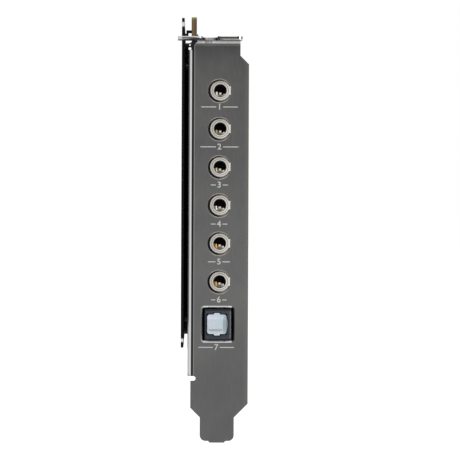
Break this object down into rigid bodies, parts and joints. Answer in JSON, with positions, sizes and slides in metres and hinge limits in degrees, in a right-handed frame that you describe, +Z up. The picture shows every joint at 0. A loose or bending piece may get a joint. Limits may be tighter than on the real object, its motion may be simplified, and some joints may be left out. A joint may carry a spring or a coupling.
{
  "type": "pci sound card",
  "caption": "Internal computer sound card with a slot bracket, round audio jacks, an optical output and a shield backplate.",
  "frame": {"origin": "centre of the bracket tab's screw notch, on the tab's underside", "axes": "+X from the solder side to the component side, +Y along the card away from the bracket, +Z up"},
  "size_m": [0.0211, 0.1796, 0.1264],
  "materials": {
    "bracket_steel": "dark satin nickel plate",
    "board_laminate": "black solder mask over glass laminate",
    "contact_gold": "gilt over nickel",
    "backplate_paint": "black powder coat",
    "fastener_steel": "nickelled steel",
    "collar_nickel": "turned nickel",
    "black_moulding": "moulded plastic",
    "slate_moulding": "moulded plastic",
    "plug_plastic": "pale blue-grey moulding",
    "emitter_glass": "clear red lens on a dark block",
    "package_epoxy": "moulded epoxy with tinned leads",
    "can_aluminium": "drawn aluminium in a clear sleeve",
    "film_case": "moulded case",
    "relay_case": "moulded case",
    "ferrite": "moulded ferrite",
    "crystal_can": "welded nickelled can",
    "chip_ceramic": "ceramic with tinned ends",
    "solder": "bright solder"
  },
  "bodies": {
    "root": {"audio_processor": "package_epoxy", "backplate_screws": "fastener_steel", "backplate_standoffs": "fastener_steel", "bracket": "bracket_steel", "bracket_screws": "fastener_steel", "chip_capacitors": "chip_ceramic", "chip_resistors": "chip_ceramic", "circuit_board": "board_laminate", "coupling_capacitor_bases": "black_moulding", "coupling_capacitor_cans": "can_aluminium", "crystals": "crystal_can", "digital_header": "black_moulding", "digital_header_pins": "contact_gold", "edge_contacts": "contact_gold", "film_capacitors": "film_case", "filter_capacitor_bases": "black_moulding", "filter_capacitor_cans": "can_aluminium", "front_audio_header": "black_moulding", "front_audio_pins": "contact_gold", "headphone_amplifier": "package_epoxy", "input_converter": "package_epoxy", "jack_collar_1": "collar_nickel", "jack_collar_2": "collar_nickel", "jack_collar_3": "collar_nickel", "jack_collar_4": "collar_nickel", "jack_collar_5": "collar_nickel", "jack_collar_6": "collar_nickel", "jack_contacts_1": "contact_gold", "jack_contacts_2": "contact_gold", "jack_contacts_3": "contact_gold", "jack_contacts_4": "contact_gold", "jack_contacts_5": "contact_gold", "jack_contacts_6": "contact_gold", "jack_housing_1": "black_moulding", "jack_housing_2": "black_moulding", "jack_housing_3": "black_moulding", "jack_housing_4": "black_moulding", "jack_housing_5": "black_moulding", "jack_housing_6": "black_moulding", "memory_chip": "package_epoxy", "mute_relay_1": "relay_case", "mute_relay_2": "relay_case", "optical_dust_plug": "plug_plastic", "optical_emitter": "emitter_glass", "optical_housing": "slate_moulding", "optical_pins": "solder", "output_amplifier_1": "package_epoxy", "output_amplifier_2": "package_epoxy", "output_amplifier_3": "package_epoxy", "output_amplifier_4": "package_epoxy", "output_amplifier_5": "package_epoxy", "output_amplifier_6": "package_epoxy", "output_converter": "package_epoxy", "power_inductors": "ferrite", "shield_backplate": "backplate_paint", "solder_joints": "solder", "voltage_regulators": "package_epoxy"}
  },
  "joints": []
}
